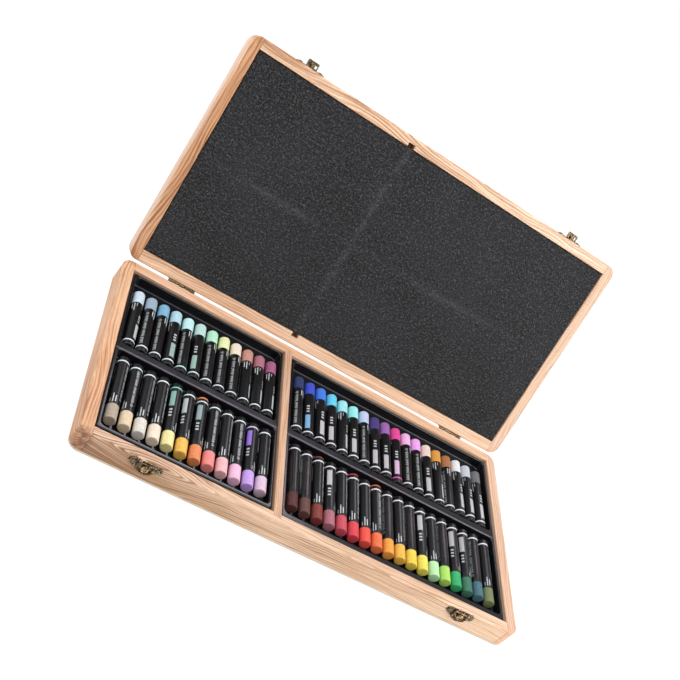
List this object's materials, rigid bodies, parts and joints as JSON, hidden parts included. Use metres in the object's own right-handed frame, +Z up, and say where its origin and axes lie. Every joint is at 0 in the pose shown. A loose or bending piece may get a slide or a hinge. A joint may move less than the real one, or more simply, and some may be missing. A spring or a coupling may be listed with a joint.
{
  "type": "oil pastel box",
  "caption": "Shallow hinged wooden case with rounded corners and a foam-lined lid, holding formed trays of wrapped oil pastels either side of a divider, closed by bail clasps.",
  "frame": {"origin": "middle of the base's footprint, on the plane that the base rests on", "axes": "+X to the right along the case's long side, +Y to the hinges at the back, +Z up; stored with the lid open at its pictured angle"},
  "size_m": [0.4, 0.3177, 0.2148],
  "materials": {
    "light_wood": "satin",
    "plywood": "matte",
    "charcoal_foam": "matte",
    "tray_sheet": "gloss",
    "wrapper_paper": "gloss",
    "antique_bronze": "satin",
    "sticks_left_back_a_lavender_to_blue": "matte",
    "sticks_left_back_b_pale_blue": "matte",
    "sticks_left_back_c_green_yellow_peach": "matte",
    "sticks_left_back_d_rose_to_purple": "matte",
    "sticks_left_front_a_taupe_to_white": "matte",
    "sticks_left_front_b_cream_to_gold": "matte",
    "sticks_left_front_c_orange_to_pink": "matte",
    "sticks_left_front_d_rose_to_lilac": "matte",
    "sticks_right_back_a_blues": "matte",
    "sticks_right_back_b_cyans_lavender": "matte",
    "sticks_right_back_c_purples": "matte",
    "sticks_right_back_d_pinks": "matte",
    "sticks_right_back_e_ochre_to_grey": "matte",
    "sticks_right_front_a_browns": "matte",
    "sticks_right_front_b_reds": "matte",
    "sticks_right_front_c_oranges": "matte",
    "sticks_right_front_d_yellows_mint": "matte",
    "sticks_right_front_e_greens_blues": "matte"
  },
  "bodies": {
    "base": {"base_back_rail": "light_wood", "base_bottom_panel": "plywood", "base_front_rail": "light_wood", "base_left_rail": "light_wood", "base_right_rail": "light_wood", "catch_knobs": "antique_bronze", "catch_left_pin": "antique_bronze", "catch_left_plate": "antique_bronze", "catch_right_pin": "antique_bronze", "catch_right_plate": "antique_bronze", "catch_screws": "antique_bronze", "divider": "light_wood", "hinge_base_screws": "antique_bronze", "hinge_left_base_leaf": "antique_bronze", "hinge_left_pin": "antique_bronze", "hinge_right_base_leaf": "antique_bronze", "hinge_right_pin": "antique_bronze"},
    "lid": {"hinge_left_lid_leaf": "antique_bronze", "hinge_lid_screws": "antique_bronze", "hinge_right_lid_leaf": "antique_bronze", "hook_left_plate": "antique_bronze", "hook_right_plate": "antique_bronze", "hook_screws": "antique_bronze", "lid_back_rail": "light_wood", "lid_foam": "charcoal_foam", "lid_front_rail": "light_wood", "lid_left_rail": "light_wood", "lid_panel": "plywood", "lid_right_rail": "light_wood"},
    "bail_left": {"catch_left_bail": "antique_bronze"},
    "bail_right": {"catch_right_bail": "antique_bronze"},
    "left_tray": {"tray_left": "tray_sheet", "sticks_left_back_a_lavender_to_blue": "sticks_left_back_a_lavender_to_blue", "sticks_left_back_b_pale_blue": "sticks_left_back_b_pale_blue", "sticks_left_back_c_green_yellow_peach": "sticks_left_back_c_green_yellow_peach", "sticks_left_back_d_rose_to_purple": "sticks_left_back_d_rose_to_purple", "sticks_left_front_a_taupe_to_white": "sticks_left_front_a_taupe_to_white", "sticks_left_front_b_cream_to_gold": "sticks_left_front_b_cream_to_gold", "sticks_left_front_c_orange_to_pink": "sticks_left_front_c_orange_to_pink", "sticks_left_front_d_rose_to_lilac": "sticks_left_front_d_rose_to_lilac", "wrappers_left_back": "wrapper_paper", "wrappers_left_front": "wrapper_paper"},
    "right_tray": {"tray_right": "tray_sheet", "sticks_right_back_a_blues": "sticks_right_back_a_blues", "sticks_right_back_b_cyans_lavender": "sticks_right_back_b_cyans_lavender", "sticks_right_back_c_purples": "sticks_right_back_c_purples", "sticks_right_back_d_pinks": "sticks_right_back_d_pinks", "sticks_right_back_e_ochre_to_grey": "sticks_right_back_e_ochre_to_grey", "sticks_right_front_a_browns": "sticks_right_front_a_browns", "sticks_right_front_b_reds": "sticks_right_front_b_reds", "sticks_right_front_c_oranges": "sticks_right_front_c_oranges", "sticks_right_front_d_yellows_mint": "sticks_right_front_d_yellows_mint", "sticks_right_front_e_greens_blues": "sticks_right_front_e_greens_blues", "wrappers_right_back": "wrapper_paper", "wrappers_right_front": "wrapper_paper"}
  },
  "joints": [
    {"name": "lid_hinge", "type": "hinge", "parent": "base", "child": "lid", "pos_m": [0, 0.1051, 0.0216], "axis": [1, 0, 0], "range_deg": [0, 115.8]},
    {"name": "bail_left_swing", "type": "hinge", "parent": "base", "child": "bail_left", "pos_m": [-0.145, -0.1064, 0.0198], "axis": [-1, 0, 0], "range_deg": [0, 180]},
    {"name": "bail_right_swing", "type": "hinge", "parent": "base", "child": "bail_right", "pos_m": [0.1426, -0.1064, 0.0198], "axis": [-1, 0, 0], "range_deg": [0, 180]},
    {"name": "left_tray_lift", "type": "slide", "parent": "base", "child": "left_tray", "axis": [0, 0, -1], "range_m": [-0.045, 0]},
    {"name": "right_tray_lift", "type": "slide", "parent": "base", "child": "right_tray", "axis": [0, 0, -1], "range_m": [-0.045, 0]}
  ]
}
